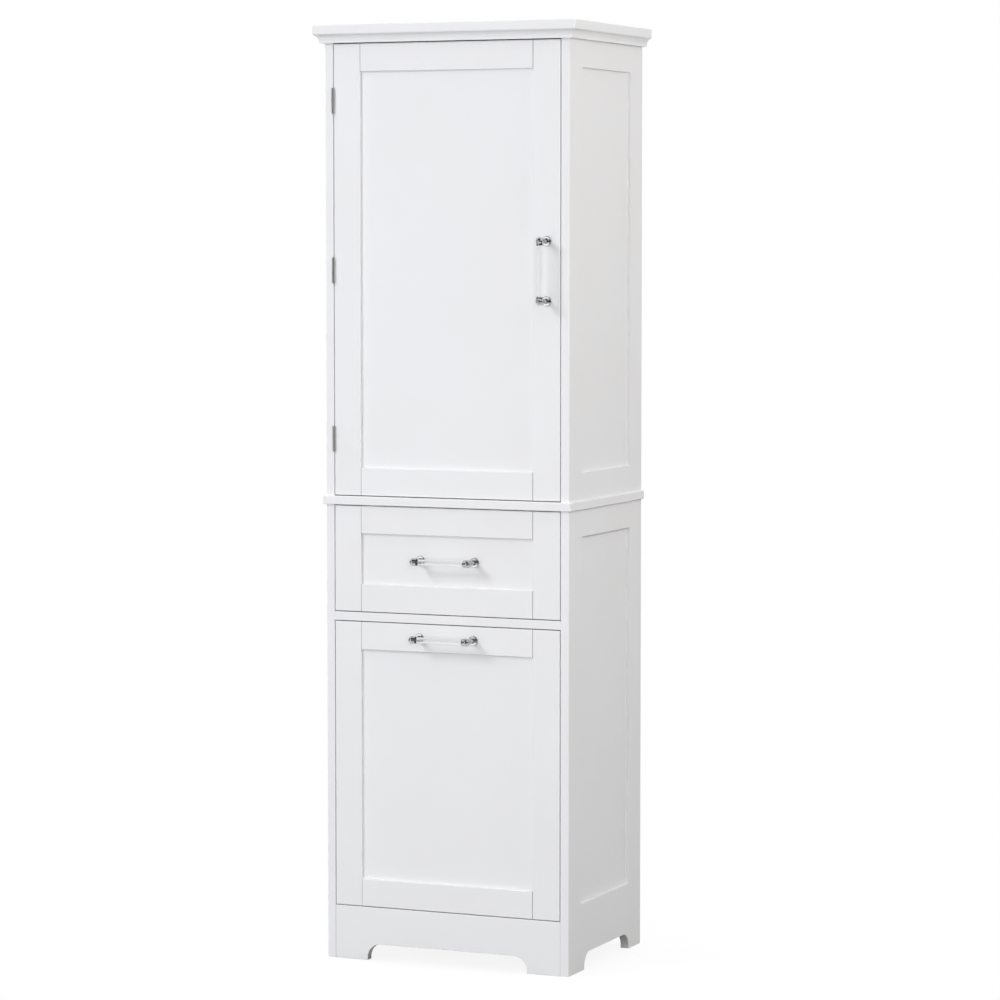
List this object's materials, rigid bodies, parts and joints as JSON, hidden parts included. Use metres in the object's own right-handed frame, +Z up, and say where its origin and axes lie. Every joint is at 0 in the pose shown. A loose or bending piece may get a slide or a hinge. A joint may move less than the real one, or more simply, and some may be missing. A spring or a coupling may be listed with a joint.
{
  "type": "linen cabinet",
  "caption": "Tall white bathroom linen cabinet with a framed cupboard door over a drawer and a tilt-out hamper, clear bar pulls and arched feet.",
  "frame": {"origin": "on the floor, at the middle of the whole object's width and of its depth with the pulls", "axes": "+X to the right of someone facing the doors, +Y from the fronts to the back, +Z up"},
  "size_m": [0.484, 0.3668, 1.6],
  "materials": {
    "painted_board": "white satin paint",
    "box_board": "white melamine",
    "back_board": "thin white hardboard",
    "chrome": "bright plate",
    "clear_acrylic": "clear and polished",
    "screw_steel": "zinc plate",
    "hinge_nickel": "satin nickel plate",
    "pin_steel": "turned",
    "runner_steel": "white powder coat",
    "nylon": "moulded"
  },
  "bodies": {
    "carcass": {"crown_slab": "painted_board", "cove_front": "painted_board", "cove_right": "painted_board", "cove_left": "painted_board", "top_board": "painted_board", "upper_side_left": "painted_board", "upper_side_right": "painted_board", "upper_back": "back_board", "hanging_rail": "painted_board", "shelf_pins": "pin_steel", "door_catch": "nylon", "hinge_frame_leaves": "hinge_nickel", "hinge_pins": "hinge_nickel", "mid_board": "painted_board", "lower_side_right": "painted_board", "lower_side_left": "painted_board", "lower_back": "back_board", "divider_board": "painted_board", "floor_board": "painted_board", "rear_rail": "painted_board", "apron": "painted_board", "cabinet_runners": "runner_steel", "pivot_bushes": "nylon", "stop_pins": "pin_steel", "shelf_1": "painted_board", "shelf_2": "painted_board", "shelf_3": "painted_board"},
    "door": {"door_stiles": "painted_board", "door_rails": "painted_board", "door_panel": "painted_board", "hinge_door_leaves": "hinge_nickel", "strike_plate": "pin_steel", "door_pull_posts": "chrome", "door_pull_bar": "clear_acrylic", "door_pull_screws": "screw_steel"},
    "drawer": {"drawer_stiles": "painted_board", "drawer_rails": "painted_board", "drawer_panel": "painted_board", "drawer_side_right": "box_board", "drawer_side_left": "box_board", "drawer_back": "box_board", "drawer_bottom": "box_board", "drawer_runners": "runner_steel", "drawer_pull_posts": "chrome", "drawer_pull_bar": "clear_acrylic", "drawer_pull_screws": "screw_steel"},
    "front_rollers": {"front_rollers": "nylon"},
    "rear_rollers": {"rear_rollers": "nylon"},
    "hamper": {"hamper_stiles": "painted_board", "hamper_rails": "painted_board", "hamper_panel": "painted_board", "bin_side_right": "box_board", "bin_side_left": "box_board", "bin_back": "box_board", "bin_bottom": "box_board", "pivot_pins": "pin_steel", "hamper_pull_posts": "chrome", "hamper_pull_bar": "clear_acrylic", "hamper_pull_screws": "screw_steel"}
  },
  "joints": [
    {"name": "door_hinge", "type": "hinge", "parent": "carcass", "child": "door", "pos_m": [-0.20925, -0.14943, 1.185], "axis": [0, 0, -1], "range_deg": [0, 170]},
    {"name": "drawer_slide", "type": "slide", "parent": "carcass", "child": "drawer", "axis": [0, -1, 0], "range_m": [0, 0.2]},
    {"name": "hamper_tilt", "type": "hinge", "parent": "carcass", "child": "hamper", "pos_m": [0, -0.13912, 0.1235], "axis": [1, 0, 0], "range_deg": [0, 35]},
    {"name": "front_roller_spin", "type": "hinge", "parent": "carcass", "child": "front_rollers", "pos_m": [0, -0.11962, 0.6206], "axis": [1, 0, 0], "range_deg": [0, 1640]},
    {"name": "rear_roller_spin", "type": "hinge", "parent": "drawer", "child": "rear_rollers", "pos_m": [0, 0.12037, 0.6206], "axis": [1, 0, 0], "range_deg": [0, 1640]}
  ],
  "couplings": [
    {"joint": "front_roller_spin", "follows": "drawer_slide", "rad_per_m": 142.86},
    {"joint": "rear_roller_spin", "follows": "drawer_slide", "rad_per_m": 142.86}
  ]
}
